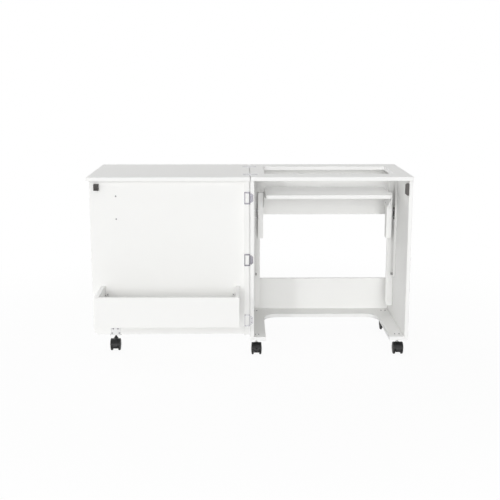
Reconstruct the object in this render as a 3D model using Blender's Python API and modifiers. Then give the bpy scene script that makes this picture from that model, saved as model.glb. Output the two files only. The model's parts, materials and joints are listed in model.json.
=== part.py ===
"""A sewing cabinet with a fold-over leaf, a swinging storage door and a machine lift.

Metres, +Z up, and the sewer sits on the -Y side. Places are measured from the seam between the two tops
(x = 0), the middle of the tops' depth (y = 0) and the floor (z = 0). The root empty then sets the whole
cabinet over the middle of its own footprint. The cabinet stands on the +X side of the seam. The leaf and
the open door reach out on the -X side.
"""

import math

import bmesh
import bpy
from mathutils import Matrix, Vector

OBJECT_NAME = "sewing_cabinet"

# Boards and gaps
BOARD = 0.016                  # thickness of every panel
EDGE_ROUND = 0.001             # rounding along the boards' edges
FIT = 0.0003                   # gap between two pieces that touch
RUN = 0.0005                   # gap between two pieces that slide or turn

# Cabinet and leaf
CABINET_WIDTH = 0.675          # across the outer faces of the side panels
TOP_DEPTH = 0.500
TOP_HEIGHT = 0.773             # floor to working surface
SEAM_GAP = 0.003               # between the main top and the leaf
FRONT_OVERHANG = 0.016         # tops in front of the side panels
BACK_OVERHANG = 0.002          # tops behind the side panels
BACK_PANEL_HEIGHT = 0.148
BACK_RAIL_HEIGHT = 0.216
BASE_LEFT_ARM = 0.0505         # width of the base on the left of the foot space
BASE_RIGHT_ARM = 0.063         # width of the base on the right of the foot space
BASE_BACK = 0.111              # depth of the base behind the foot space
FOOT_SPACE_RADIUS = 0.065

# Machine opening in the main top
OPENING_WIDTH = 0.550
OPENING_DEPTH = 0.290
OPENING_FRONT = 0.110          # from the top's front edge
OPENING_RADIUS = 0.020

# Machine lift
PLATFORM_GAP = 0.005           # platform to the edge of the opening, all round
PLATFORM_DROP = 0.091          # platform below the working surface
POST_WIDTH = 0.032
POST_FROM_BACK = 0.149         # side panel's back edge to the post's front face
POST_BOTTOM = 0.135
POST_ROUND = 0.018             # lower inner corner
RAIL_WIDTH = 0.045
RAIL_DEPTH = 0.010
RAIL_WALL = 0.0018
RAIL_FROM_POST = 0.010
RAIL_BOTTOM = 0.285
RAIL_TOP_GAP = 0.002           # rail to the underside of the main top
STOP_RADIUS = 0.006
STOP_LENGTH = 0.014
STOP_RISE = 0.008              # stop above the rail's lower end
SLIDE_SPACE = 0.022            # side panel to carrier
CARRIER_WIDTH = 0.023
CARRIER_DEPTH = 0.046
CARRIER_HEIGHT = 0.205
CARRIER_RUN = 0.001            # carrier to guide post
SHOE_HEIGHT = 0.051
SHOE_DROP = 0.070              # shoe below the platform's underside
SHOE_ROUND = 0.004
SHOE_PIN_RADIUS = 0.0025       # pins that join the shoe to the carrier
SHOE_PIN_SPACING = 0.030
BRACKET_STEEL = 0.003
BRACKET_HEIGHT = 0.065
BRACKET_LENGTH = 0.190
BRACKET_LAP = 0.034            # flange under the platform

# Door and storage bin
DOOR_GAP = 0.005               # left side panel to the open door
DOOR_REVEAL = 0.007            # outer face of the cabinet to the closed door's edge
DOOR_FLOOR_GAP = 0.096
DOOR_CORNER_RADIUS = 0.020     # lower corner at the free edge
STILE_WIDTH = 0.0205
BIN_DEPTH = 0.2053             # door to the bin's outer face
BIN_HEIGHT = 0.125
BIN_RAISE = 0.087              # bin above the door's lower edge
BIN_HINGE_INSET = 0.041        # bin from the door's hinged edge
BIN_SWING_CLEARANCE = 0.0064   # bin's swinging corner to the right side panel

# Magnetic catch, pull and door caster bracket
CATCH_TOP_INSET = 0.0137       # catch and strike below the door's upper edge
CATCH_HEIGHT = 0.049
CATCH_REACH = 0.014
CATCH_LENGTH = 0.022
CATCH_PROUD = 0.002            # catch in front of the side panel
CATCH_CHAMFER = 0.006
STRIKE_INSET = 0.014           # strike from the door's free edge
STRIKE_WIDTH = 0.027
STRIKE_HEIGHT = 0.034
STRIKE_ROUND = 0.002
PULL_INSET = 0.109             # pull from the door's free edge
PULL_DROP = 0.114              # pull's middle below the door's upper edge
PULL_CENTRES = 0.096
PULL_STANDOFF = 0.030
PULL_RADIUS = 0.005
PULL_BEND = 0.012
CASTER_BRACKET_WIDTH = 0.048   # flange that carries the caster
CASTER_UPRIGHT_WIDTH = 0.041   # plate that is screwed to the door
CASTER_BRACKET_HEIGHT = 0.034
CASTER_BRACKET_STEEL = 0.0033
CASTER_BRACKET_INSET = 0.093   # bracket's middle from the door's free edge
DOOR_CASTER_INSET = 0.0805     # swivel axis from the door's free edge
DOOR_CASTER_BACK = 0.0987      # swivel axis behind the door's bin face
DOOR_CASTER_MARGIN = 0.022     # bracket behind the swivel axis

# Hinges
PIN_RADIUS = 0.0009
KNUCKLE_WALL = 0.0008
HINGE_STEEL = 0.0012
HINGE_HEIGHT = 0.052
HINGE_AXIS_PROUD = 0.001       # door's axis in front of the side panel
HINGE_ARM = 0.006              # height of the frame's two arms
HINGE_WEB = 0.004              # width of the frame's upright
HINGE_TONGUE = 0.012           # tongue on the side panel's edge
HINGE_TONGUE_CHAMFER = 0.0065
HINGE_BOTTOM_INSET = 0.064     # lowest hinge above the door's lower edge
HINGE_TOP_INSET = 0.072        # highest hinge below the door's upper edge
FLAP_LENGTH = 0.060
FLAP_WIDTH = 0.0315            # from the seam
FLAP_STEEL = 0.0022
FLAP_INSET = 0.100             # flap hinges' middles from the tops' front and back edges
FLAP_MIDDLE_KNUCKLE = 0.0236
FLAP_SETBACK = 0.003           # plate's edge from the seam beside the other plate's knuckle

# Casters
WHEEL_RADIUS = 0.025
WHEEL_SIDES = 28
WHEEL_ROUND = 0.0025           # tread's shoulders
WHEEL_DOME = 0.002             # middle of the outer face past its rim
DOME_STEPS = 3
AXLE_RADIUS = 0.003
CASTER_WIDTH = 0.046           # over both wheels
CASTER_HOUSING = 0.0225        # width of the housing between the wheels
CASTER_TRAIL = 0.018           # axle from the swivel axis
HOOD_GAP = 0.0012              # wheel to fender
HOOD_WALL = 0.002
HOOD_INSET = 0.002             # fender's side inside the wheel's face
HOOD_ROUND = 0.0015
HOUSING_LIFT = 0.0105          # floor to the housing's lower edge
FENDER_LIFT = 0.031            # floor to the fenders' lower edge beyond the axle
BOSS_RADIUS = 0.010
BOSS_DROP = 0.0055             # boss below the hood's top
STEM_RADIUS = 0.0045
STEM_SPACE = 0.0192            # boss to mounting plate
NUT_RADIUS = 0.010             # flange nut on the door caster's long stem
NUT_HEIGHT = 0.0045
COLLAR_RADIUS = 0.0065
COLLAR_HEIGHT = 0.0045
MOULD_HOLE_RADIUS = 0.0022
MOULD_HOLE_DEPTH = 0.004
MOULD_HOLE_CASTER = "front_left"
PLATE_SIZE = 0.038
PLATE_STEEL = 0.003
PLATE_ROUND = 0.006
CASTER_LEFT_INSET = 0.027      # left swivel axes from the cabinet's outer face
CASTER_RIGHT_INSET = 0.038     # right swivel axes from the cabinet's outer face
CASTER_FRONT_INSET = 0.050     # front swivel axes from the side panels' front edges
CASTER_BACK_INSET = 0.058      # back swivel axes from the side panels' back edges

# How far cutters reach past what they cut, and how finely round shapes are divided
OVERCUT = 0.02
BEVEL_STEPS = 2
CORNER_STEPS = 6
ROUND_SIDES = 32
SMALL_SIDES = 16
SMOOTH_ANGLE = math.radians(35)
PARALLEL = 0.999               # cosine above which two directions count as the same
WELD = 0.00001                 # points closer than this are one
EMPTY_SIZE = 0.05

# Heights worked out from the sizes above
AXLE_HEIGHT = WHEEL_RADIUS * math.cos(math.pi / WHEEL_SIDES)
HOOD_RADIUS = WHEEL_RADIUS + HOOD_GAP + HOOD_WALL
BOSS_TOP = AXLE_HEIGHT + HOOD_RADIUS - BOSS_DROP
NUT_TOP = BOSS_TOP + NUT_HEIGHT
PLATE_UNDER = BOSS_TOP + STEM_SPACE
BASE_UNDER = PLATE_UNDER + PLATE_STEEL + FIT
BASE_TOP = BASE_UNDER + BOARD
TOP_UNDER = TOP_HEIGHT - BOARD
PLATFORM_UNDER = TOP_UNDER - PLATFORM_DROP
LIFT_TOP = PLATFORM_UNDER - FIT
DOOR_TOP = TOP_UNDER - FIT

# Places across and along the cabinet
TOP_FRONT = -TOP_DEPTH / 2
TOP_BACK = TOP_DEPTH / 2
PANEL_FRONT = TOP_FRONT + FRONT_OVERHANG
PANEL_BACK = TOP_BACK - BACK_OVERHANG
LEFT_INNER = BOARD
RIGHT_INNER = CABINET_WIDTH - BOARD
BACK_FACE = PANEL_BACK - BOARD
POST_FRONT = PANEL_BACK - POST_FROM_BACK
CARRIER_BACK = POST_FRONT - CARRIER_RUN
CARRIER_FRONT = CARRIER_BACK - CARRIER_DEPTH
CARRIER_OUTER = LEFT_INNER + SLIDE_SPACE
CARRIER_INNER = CARRIER_OUTER + CARRIER_WIDTH
RAIL_BACK = POST_FRONT - RAIL_FROM_POST
RAIL_FRONT = RAIL_BACK - RAIL_WIDTH
RAIL_OUTER = LEFT_INNER + FIT
RAIL_FLOOR = RAIL_OUTER + RAIL_WALL
OPENING_LEFT = (CABINET_WIDTH - OPENING_WIDTH) / 2
OPENING_NEAR = TOP_FRONT + OPENING_FRONT
OPENING_FAR = OPENING_NEAR + OPENING_DEPTH

# Places on the door, which stands open to the left of the cabinet
KNUCKLE_RADIUS = PIN_RADIUS + FIT + KNUCKLE_WALL
DOOR_AXIS = Vector((-DOOR_GAP / 2, PANEL_FRONT - HINGE_AXIS_PROUD, 0))
DOOR_HINGE_EDGE = -DOOR_GAP
DOOR_FREE_EDGE = DOOR_REVEAL - CABINET_WIDTH
STILE_EDGE = DOOR_HINGE_EDGE - STILE_WIDTH
DOOR_FRONT = PANEL_FRONT + BOARD + FIT
DOOR_BACK = DOOR_FRONT + BOARD
DOOR_BOTTOM = DOOR_FLOOR_GAP
DOOR_SEAT = DOOR_FRONT - FIT
BIN_FRONT = DOOR_FRONT - BIN_DEPTH
BIN_BOTTOM = DOOR_BOTTOM + BIN_RAISE
BIN_TOP = BIN_BOTTOM + BIN_HEIGHT
BIN_RIGHT = DOOR_HINGE_EDGE - BIN_HINGE_INSET
BIN_SWING = RIGHT_INNER - DOOR_AXIS.x - BIN_SWING_CLEARANCE
BIN_LEFT = DOOR_AXIS.x - math.sqrt(BIN_SWING ** 2 - (BIN_FRONT - DOOR_AXIS.y) ** 2)
CATCH_FRONT = PANEL_FRONT - CATCH_PROUD
CATCH_TOP = DOOR_TOP - CATCH_TOP_INSET
HINGE_HEIGHTS = {
    "bottom": DOOR_BOTTOM + HINGE_BOTTOM_INSET,
    "middle": (DOOR_BOTTOM + HINGE_BOTTOM_INSET + DOOR_TOP - HINGE_TOP_INSET) / 2,
    "top": DOOR_TOP - HINGE_TOP_INSET,
}

# The leaf's axis lies just above the surface, so that the leaf folds flat onto the main top
LEAF_AXIS = Vector((0, 0, TOP_HEIGHT + FIT))
FLAP_PLACES = {"front": TOP_FRONT + FLAP_INSET, "back": TOP_BACK - FLAP_INSET}


def clear_scene():
    """Empty the scene and give it one collection for the pieces and one for the cutters."""
    for item in list(bpy.data.objects):
        bpy.data.objects.remove(item, do_unlink=True)
    made = []
    for name in (OBJECT_NAME, OBJECT_NAME + "_cutters"):
        collection = bpy.data.collections.new(name)
        bpy.context.scene.collection.children.link(collection)
        made.append(collection)
    return made


def finish(name, colour, roughness, metallic=0.0):
    """Make a Principled material."""
    made = bpy.data.materials.new(name)
    made.use_nodes = True
    shader = made.node_tree.nodes["Principled BSDF"]
    shader.inputs["Base Color"].default_value = (*colour, 1)
    shader.inputs["Roughness"].default_value = roughness
    shader.inputs["Metallic"].default_value = metallic
    return made


def add_empty(name, parent, place):
    """Add an empty that carries a moving group, placed in its parent's frame."""
    empty = bpy.data.objects.new(name, None)
    empty.empty_display_size = EMPTY_SIZE
    PARTS.objects.link(empty)
    empty.parent = parent
    empty.location = place
    return empty


def origin_of(body):
    """Give an unrotated body empty's place in the cabinet's frame."""
    place = Vector()
    while body.parent:
        place += body.location
        body = body.parent
    return place


def add_piece(name, data, material, body, place):
    """Add one named piece, placed in its body's own frame."""
    piece = bpy.data.objects.new(name, data)
    PARTS.objects.link(piece)
    piece.parent = body
    piece.location = place
    if not data.materials:
        data.materials.append(material)
    return piece


def box_mesh(name, size):
    """Make a box centred on its origin."""
    mesh = bpy.data.meshes.new(name)
    shape = bmesh.new()
    bmesh.ops.create_cube(shape, size=1, matrix=Matrix.Diagonal((*size, 1)))
    shape.to_mesh(mesh)
    shape.free()
    return mesh


def rod_mesh(name, radius, length, axis, sides):
    """Make a closed cylinder along an axis, centred on its origin."""
    turn = {"X": Matrix.Rotation(math.pi / 2, 4, "Y"), "Y": Matrix.Rotation(math.pi / 2, 4, "X")}
    mesh = bpy.data.meshes.new(name)
    shape = bmesh.new()
    bmesh.ops.create_cone(
        shape, cap_ends=True, segments=sides, radius1=radius, radius2=radius, depth=length,
        matrix=turn.get(axis, Matrix()),
    )
    shape.to_mesh(mesh)
    shape.free()
    return mesh


def round_edges_along(mesh, axis, radius, steps, chosen=lambda middle: True):
    """Round a mesh's straight edges that run along an axis, where their middles are chosen."""
    shape = bmesh.new()
    shape.from_mesh(mesh)
    direction = Vector((axis == "X", axis == "Y", axis == "Z"))
    edges = []
    for edge in shape.edges:
        start, end = edge.verts[0].co, edge.verts[1].co
        if abs((end - start).normalized().dot(direction)) > PARALLEL and chosen((start + end) / 2):
            edges.append(edge)
    bmesh.ops.bevel(shape, geom=edges, offset=radius, segments=steps, profile=0.5, affect="EDGES")
    shape.to_mesh(mesh)
    shape.free()


def round_rims(mesh, axis, radius):
    """Round both end rims of a cylinder that lies along an axis."""
    shape = bmesh.new()
    shape.from_mesh(mesh)
    direction = Vector((axis == "X", axis == "Y", axis == "Z"))
    rims = []
    for edge in shape.edges:
        ends = [face for face in edge.link_faces if abs(face.normal.dot(direction)) > PARALLEL]
        if len(ends) == 1:
            rims.append(edge)
    bmesh.ops.bevel(shape, geom=rims, offset=radius, segments=BEVEL_STEPS, profile=0.5, affect="EDGES")
    shape.to_mesh(mesh)
    shape.free()


def span(corner_a, corner_b):
    """Give the middle and size of the box between two corners."""
    low = Vector(min(a, b) for a, b in zip(corner_a, corner_b))
    high = Vector(max(a, b) for a, b in zip(corner_a, corner_b))
    return (low + high) / 2, high - low


def add_cutter(name, mesh, place):
    """Add a cutter, placed in the cabinet's frame."""
    cutter = bpy.data.objects.new(name, mesh)
    CUTTERS.objects.link(cutter)
    cutter.parent = ROOT
    cutter.location = place
    cutter.hide_render = True
    cutter.display_type = "WIRE"
    return cutter


def box_cutter(name, corner_a, corner_b):
    """Add a box cutter between two corners of the cabinet's frame."""
    middle, size = span(corner_a, corner_b)
    return add_cutter(name, box_mesh(name, size), middle)


def combine(piece, tool, operation="DIFFERENCE"):
    """Cut a piece with a tool, or join them."""
    step = piece.modifiers.new(operation.lower(), "BOOLEAN")
    step.operation = operation
    step.solver = "EXACT"
    step.object = tool


def soften(piece, width=EDGE_ROUND):
    """Round a board's sharp edges."""
    bevel = piece.modifiers.new("rounded_edges", "BEVEL")
    bevel.width = width
    bevel.segments = BEVEL_STEPS
    bevel.limit_method = "ANGLE"
    bevel.angle_limit = SMOOTH_ANGLE


def smooth(mesh):
    """Shade a round piece smooth, with its real corners kept sharp."""
    mesh.shade_smooth()
    mesh.set_sharp_from_angle(angle=SMOOTH_ANGLE)


def add_box(name, corner_a, corner_b, material, body):
    """Add a plain box between two corners of the cabinet's frame."""
    middle, size = span(corner_a, corner_b)
    return add_piece(name, box_mesh(name, size), material, body, middle - origin_of(body))


def add_board(name, corner_a, corner_b, body):
    """Add a white board between two corners of the cabinet's frame."""
    board = add_box(name, corner_a, corner_b, WHITE, body)
    soften(board)
    return board


def shaped_mesh(name, base, steps):
    """Make one mesh from a base mesh and a list of joins and cuts, each an operation, mesh and place."""
    target = bpy.data.objects.new(name, base)
    CUTTERS.objects.link(target)
    tools = []
    for operation, mesh, place in steps:
        tool = bpy.data.objects.new(name, mesh)
        CUTTERS.objects.link(tool)
        tool.location = place
        combine(target, tool, operation)
        tools.append(tool)
    bpy.context.view_layer.update()
    graph = bpy.context.evaluated_depsgraph_get()
    made = bpy.data.meshes.new_from_object(target.evaluated_get(graph))
    made.name = name
    smooth(made)
    for spare in (*tools, target):
        bpy.data.objects.remove(spare, do_unlink=True)
    return made


def across(side, distance):
    """Give the x of a distance in from the cabinet's left or right outer face."""
    return distance if side == "left" else CABINET_WIDTH - distance


def build_tops():
    """Build the main top with its machine opening, and the leaf, both recessed for the flap hinges."""
    main_top = add_board(
        "main_top", (SEAM_GAP / 2, TOP_FRONT, TOP_UNDER), (CABINET_WIDTH, TOP_BACK, TOP_HEIGHT), ROOT
    )
    leaf_top = add_board(
        "leaf_top", (-CABINET_WIDTH, TOP_FRONT, TOP_UNDER), (-SEAM_GAP / 2, TOP_BACK, TOP_HEIGHT), LEAF
    )

    opening = box_mesh("machine_opening_cutter", (OPENING_WIDTH, OPENING_DEPTH, BOARD + 2 * OVERCUT))
    round_edges_along(opening, "Z", OPENING_RADIUS, CORNER_STEPS)
    middle = (CABINET_WIDTH / 2, (OPENING_NEAR + OPENING_FAR) / 2, TOP_HEIGHT - BOARD / 2)
    combine(main_top, add_cutter("machine_opening_cutter", opening, middle))
    main_top.modifiers.move(1, 0)

    half_length = FLAP_LENGTH / 2 + FIT
    half_width = FLAP_WIDTH + FIT
    recess_floor = TOP_HEIGHT - FLAP_STEEL - FIT
    for which, place in FLAP_PLACES.items():
        recess = box_cutter(
            f"flap_recess_cutter_{which}",
            (-half_width, place - half_length, recess_floor),
            (half_width, place + half_length, TOP_HEIGHT + OVERCUT),
        )
        combine(main_top, recess)
        combine(leaf_top, recess)


def build_carcase():
    """Build the side panels, the U-shaped base and the two back boards."""
    for side in ("left", "right"):
        add_board(
            f"{side}_side_panel",
            (across(side, 0), PANEL_FRONT, BASE_UNDER),
            (across(side, BOARD), PANEL_BACK, TOP_UNDER - FIT),
            ROOT,
        )

    left, right = LEFT_INNER + FIT, RIGHT_INNER - FIT
    base = add_board("base_panel", (left, PANEL_FRONT, BASE_UNDER), (right, PANEL_BACK, BASE_TOP), ROOT)
    space_back = PANEL_BACK - BASE_BACK
    space_front = PANEL_FRONT - FOOT_SPACE_RADIUS - OVERCUT
    middle, size = span(
        (LEFT_INNER + BASE_LEFT_ARM, space_front, BASE_UNDER - OVERCUT),
        (RIGHT_INNER - BASE_RIGHT_ARM, space_back, BASE_TOP + OVERCUT),
    )
    foot_space = box_mesh("foot_space_cutter", size)
    round_edges_along(foot_space, "Z", FOOT_SPACE_RADIUS, CORNER_STEPS)
    combine(base, add_cutter("foot_space_cutter", foot_space, middle))
    base.modifiers.move(1, 0)

    panel_bottom = BASE_TOP + FIT
    add_board(
        "lower_back_panel",
        (left, BACK_FACE, panel_bottom),
        (right, PANEL_BACK, panel_bottom + BACK_PANEL_HEIGHT),
        ROOT,
    )
    rail_top = TOP_UNDER - FIT
    add_board(
        "upper_back_rail", (left, BACK_FACE, rail_top - BACK_RAIL_HEIGHT), (right, PANEL_BACK, rail_top), ROOT
    )


def build_lift_guides(side):
    """Build one side's guide post, slide rail and rail stop, which stand still."""
    post = add_box(
        f"{side}_guide_post",
        (across(side, LEFT_INNER + FIT), POST_FRONT, POST_BOTTOM),
        (across(side, LEFT_INNER + POST_WIDTH), POST_FRONT + BOARD, TOP_UNDER - FIT),
        WHITE,
        ROOT,
    )
    inward = 1 if side == "left" else -1
    round_edges_along(
        post.data, "Y", POST_ROUND, CORNER_STEPS, lambda middle: middle.z < 0 and middle.x * inward > 0
    )
    soften(post)

    rail_top = TOP_UNDER - RAIL_TOP_GAP
    rail = add_box(
        f"{side}_slide_rail",
        (across(side, RAIL_OUTER), RAIL_FRONT, RAIL_BOTTOM),
        (across(side, RAIL_OUTER + RAIL_DEPTH), RAIL_BACK, rail_top),
        COATED,
        ROOT,
    )
    channel = box_cutter(
        f"{side}_rail_channel_cutter",
        (across(side, RAIL_FLOOR), RAIL_FRONT + RAIL_WALL, RAIL_BOTTOM - OVERCUT),
        (across(side, RAIL_OUTER + RAIL_DEPTH + OVERCUT), RAIL_BACK - RAIL_WALL, rail_top + OVERCUT),
    )
    combine(rail, channel)

    stop = rod_mesh(f"{side}_rail_stop", STOP_RADIUS, STOP_LENGTH, "X", SMALL_SIDES)
    smooth(stop)
    stop_middle = RAIL_FLOOR + FIT + STOP_LENGTH / 2
    place = (across(side, stop_middle), (RAIL_FRONT + RAIL_BACK) / 2, RAIL_BOTTOM + STOP_RISE)
    add_piece(f"{side}_rail_stop", stop, BLACK, ROOT, place)


def build_lift_side(side):
    """Build one side of the lift: its carrier, slide shoe and platform bracket."""
    add_board(
        f"{side}_carrier",
        (across(side, CARRIER_OUTER), CARRIER_FRONT, LIFT_TOP - CARRIER_HEIGHT),
        (across(side, CARRIER_INNER), CARRIER_BACK, LIFT_TOP),
        LIFT,
    )

    shoe_top = PLATFORM_UNDER - SHOE_DROP
    shoe_inner = RAIL_OUTER + RAIL_DEPTH - RUN
    middle, size = span(
        (across(side, RAIL_FLOOR + RUN), RAIL_FRONT + RAIL_WALL + RUN, shoe_top - SHOE_HEIGHT),
        (across(side, shoe_inner), RAIL_BACK - RAIL_WALL - RUN, shoe_top),
    )
    block = box_mesh(f"{side}_slide_shoe", size)
    round_edges_along(block, "X", SHOE_ROUND, BEVEL_STEPS)
    pin_end = across(side, CARRIER_OUTER - FIT)
    pin_length = abs(pin_end - middle.x)
    steps = []
    for end in (-1, 1):
        pin = rod_mesh("shoe_pin", SHOE_PIN_RADIUS, pin_length, "X", SMALL_SIDES)
        steps.append(("UNION", pin, ((pin_end - middle.x) / 2, 0, end * SHOE_PIN_SPACING / 2)))
    shoe = shaped_mesh(f"{side}_slide_shoe", block, steps)
    add_piece(f"{side}_slide_shoe", shoe, BLACK, LIFT, middle - origin_of(LIFT))

    outer = CARRIER_INNER + FIT
    inner = OPENING_LEFT + PLATFORM_GAP + BRACKET_LAP
    bracket_front = CARRIER_BACK - BRACKET_LENGTH
    bracket = add_box(
        f"{side}_platform_bracket",
        (across(side, outer), bracket_front, LIFT_TOP - BRACKET_HEIGHT),
        (across(side, inner), CARRIER_BACK, LIFT_TOP),
        COATED,
        LIFT,
    )
    angle = box_cutter(
        f"{side}_bracket_angle_cutter",
        (across(side, outer + BRACKET_STEEL), bracket_front - OVERCUT, LIFT_TOP - BRACKET_HEIGHT - OVERCUT),
        (across(side, inner + OVERCUT), CARRIER_BACK + OVERCUT, LIFT_TOP - BRACKET_STEEL),
    )
    combine(bracket, angle)
    gusset = box_cutter(
        f"{side}_bracket_gusset_cutter",
        (across(side, outer - OVERCUT), bracket_front - BRACKET_LENGTH, -2 * BRACKET_HEIGHT),
        (across(side, inner + OVERCUT), CARRIER_FRONT, 0),
    )
    slope = math.atan2(BRACKET_HEIGHT - BRACKET_STEEL, CARRIER_FRONT - bracket_front)
    hinge_point = Vector((0, CARRIER_FRONT, LIFT_TOP - BRACKET_HEIGHT))
    turn = Matrix.Rotation(-slope, 4, "X")
    corner = Vector((0, CARRIER_FRONT, 0))
    gusset.location = hinge_point + turn @ (gusset.location - corner)
    gusset.rotation_euler = turn.to_euler()
    combine(bracket, gusset)


def build_platform():
    """Build the machine platform, which fits the opening in the main top."""
    left = OPENING_LEFT + PLATFORM_GAP
    platform = add_box(
        "lift_platform",
        (left, OPENING_NEAR + PLATFORM_GAP, PLATFORM_UNDER),
        (CABINET_WIDTH - left, OPENING_FAR - PLATFORM_GAP, PLATFORM_UNDER + BOARD),
        WHITE,
        LIFT,
    )
    round_edges_along(platform.data, "Z", OPENING_RADIUS - PLATFORM_GAP, CORNER_STEPS)
    soften(platform)


def build_door():
    """Build the door panel and the stile that its hinges sit on."""
    panel = add_box(
        "door_panel",
        (DOOR_FREE_EDGE, DOOR_FRONT, DOOR_BOTTOM),
        (DOOR_HINGE_EDGE, DOOR_BACK, DOOR_TOP),
        WHITE,
        DOOR,
    )
    round_edges_along(
        panel.data, "Y", DOOR_CORNER_RADIUS, CORNER_STEPS, lambda middle: middle.x < 0 and middle.z < 0
    )
    soften(panel)
    add_board(
        "door_stile", (STILE_EDGE, PANEL_FRONT, DOOR_BOTTOM), (DOOR_HINGE_EDGE, DOOR_SEAT, DOOR_TOP), DOOR
    )


def build_bin():
    """Build the open storage bin from a front, two ends and a bottom."""
    back_of_front = BIN_FRONT + BOARD
    ends_front = back_of_front + FIT
    add_board("bin_front", (BIN_LEFT, BIN_FRONT, BIN_BOTTOM), (BIN_RIGHT, back_of_front, BIN_TOP), DOOR)
    add_board(
        "bin_left_end", (BIN_LEFT, ends_front, BIN_BOTTOM), (BIN_LEFT + BOARD, DOOR_SEAT, BIN_TOP), DOOR
    )
    add_board(
        "bin_right_end", (BIN_RIGHT - BOARD, ends_front, BIN_BOTTOM), (BIN_RIGHT, DOOR_SEAT, BIN_TOP), DOOR
    )
    add_board(
        "bin_bottom",
        (BIN_LEFT + BOARD + FIT, ends_front, BIN_BOTTOM),
        (BIN_RIGHT - BOARD - FIT, DOOR_SEAT, BIN_BOTTOM + BOARD),
        DOOR,
    )


def build_catch():
    """Build the magnetic catch in the cabinet and the strike block that meets it when the door closes."""
    right = RIGHT_INNER - FIT
    catch = add_box(
        "catch_body",
        (right - CATCH_REACH, CATCH_FRONT, CATCH_TOP - CATCH_HEIGHT),
        (right, CATCH_FRONT + CATCH_LENGTH, CATCH_TOP),
        BLACK,
        ROOT,
    )
    round_edges_along(catch.data, "Y", CATCH_CHAMFER, 1, lambda middle: middle.x < 0)

    closed_seat = 2 * DOOR_AXIS.y - DOOR_SEAT
    strike_depth = CATCH_FRONT - RUN - closed_seat
    strike_left = DOOR_FREE_EDGE + STRIKE_INSET
    strike = add_box(
        "catch_strike",
        (strike_left, DOOR_SEAT - strike_depth, CATCH_TOP - STRIKE_HEIGHT),
        (strike_left + STRIKE_WIDTH, DOOR_SEAT, CATCH_TOP),
        BLACK,
        DOOR,
    )
    round_edges_along(strike.data, "Y", STRIKE_ROUND, BEVEL_STEPS)


def build_pull():
    """Build the bar pull on the door's outer face as one bent rod."""
    foot = DOOR_BACK + FIT - DOOR_AXIS.y
    grip = foot + PULL_STANDOFF
    half = PULL_CENTRES / 2
    points = [(foot, -half)]
    for end in (-1, 1):
        centre = Vector((grip - PULL_BEND, end * (half - PULL_BEND)))
        turns = [math.pi / 2 * step / CORNER_STEPS for step in range(CORNER_STEPS + 1)]
        if end < 0:
            turns.reverse()
        for turn in turns:
            reach = Vector((math.cos(turn), end * math.sin(turn)))
            points.append(tuple(centre + PULL_BEND * reach))
    points.append((foot, half))

    path = bpy.data.curves.new("door_pull", "CURVE")
    path.dimensions = "3D"
    path.bevel_depth = PULL_RADIUS
    path.bevel_resolution = 2
    path.use_fill_caps = True
    spline = path.splines.new("POLY")
    spline.points.add(len(points) - 1)
    for point, (along, up) in zip(spline.points, points):
        point.co = (0, along, up, 1)
        point.radius = 1
    place = (DOOR_FREE_EDGE + PULL_INSET - DOOR_AXIS.x, 0, DOOR_TOP - PULL_DROP)
    add_piece("door_pull", path, NICKEL, DOOR, place)


def build_door_hinges():
    """Build the three nested hinges: frames on the stile, tongues on the side panel and their pins."""
    half = HINGE_HEIGHT / 2
    window = half - HINGE_ARM
    plate_middle = PANEL_FRONT - FIT - HINGE_STEEL / 2 - DOOR_AXIS.y
    bore = PIN_RADIUS + FIT

    frame_reach = DOOR_AXIS.x - STILE_EDGE - FIT
    window_reach = frame_reach - HINGE_WEB
    frame_plate = box_mesh("door_hinge_frame", (frame_reach, HINGE_STEEL, HINGE_HEIGHT))
    frame_plate.transform(Matrix.Translation((-frame_reach / 2, plate_middle, 0)))
    window_box = box_mesh("hinge_window", (window_reach + OVERCUT, OVERCUT, 2 * window))
    frame = shaped_mesh("door_hinge_frame", frame_plate, [
        ("UNION", rod_mesh("knuckle", KNUCKLE_RADIUS, HINGE_HEIGHT - 2 * FIT, "Z", SMALL_SIDES), (0, 0, 0)),
        ("DIFFERENCE", window_box, ((OVERCUT - window_reach) / 2, 0, 0)),
        ("DIFFERENCE", rod_mesh("bore", bore, HINGE_HEIGHT + OVERCUT, "Z", SMALL_SIDES), (0, 0, 0)),
    ])

    tongue_reach = HINGE_TONGUE - DOOR_AXIS.x
    tongue_half = window - RUN
    tongue_plate = box_mesh("door_hinge_tongue", (tongue_reach, HINGE_STEEL, 2 * (tongue_half - FIT)))
    round_edges_along(tongue_plate, "Y", HINGE_TONGUE_CHAMFER, 1, lambda middle: middle.x > 0)
    tongue_plate.transform(Matrix.Translation((tongue_reach / 2, plate_middle, 0)))
    tongue = shaped_mesh("door_hinge_tongue", tongue_plate, [
        ("UNION", rod_mesh("knuckle", KNUCKLE_RADIUS, 2 * tongue_half, "Z", SMALL_SIDES), (0, 0, 0)),
        ("DIFFERENCE", rod_mesh("bore", bore, HINGE_HEIGHT, "Z", SMALL_SIDES), (0, 0, 0)),
    ])

    pin = rod_mesh("door_hinge_pin", PIN_RADIUS, HINGE_HEIGHT, "Z", SMALL_SIDES)
    smooth(pin)
    for which, height in HINGE_HEIGHTS.items():
        add_piece(f"door_hinge_frame_{which}", frame, STEEL, DOOR, (0, 0, height))
        place = DOOR_AXIS + Vector((0, 0, height))
        add_piece(f"door_hinge_tongue_{which}", tongue, STEEL, ROOT, place)
        add_piece(f"door_hinge_pin_{which}", pin, STEEL, ROOT, place)


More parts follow.
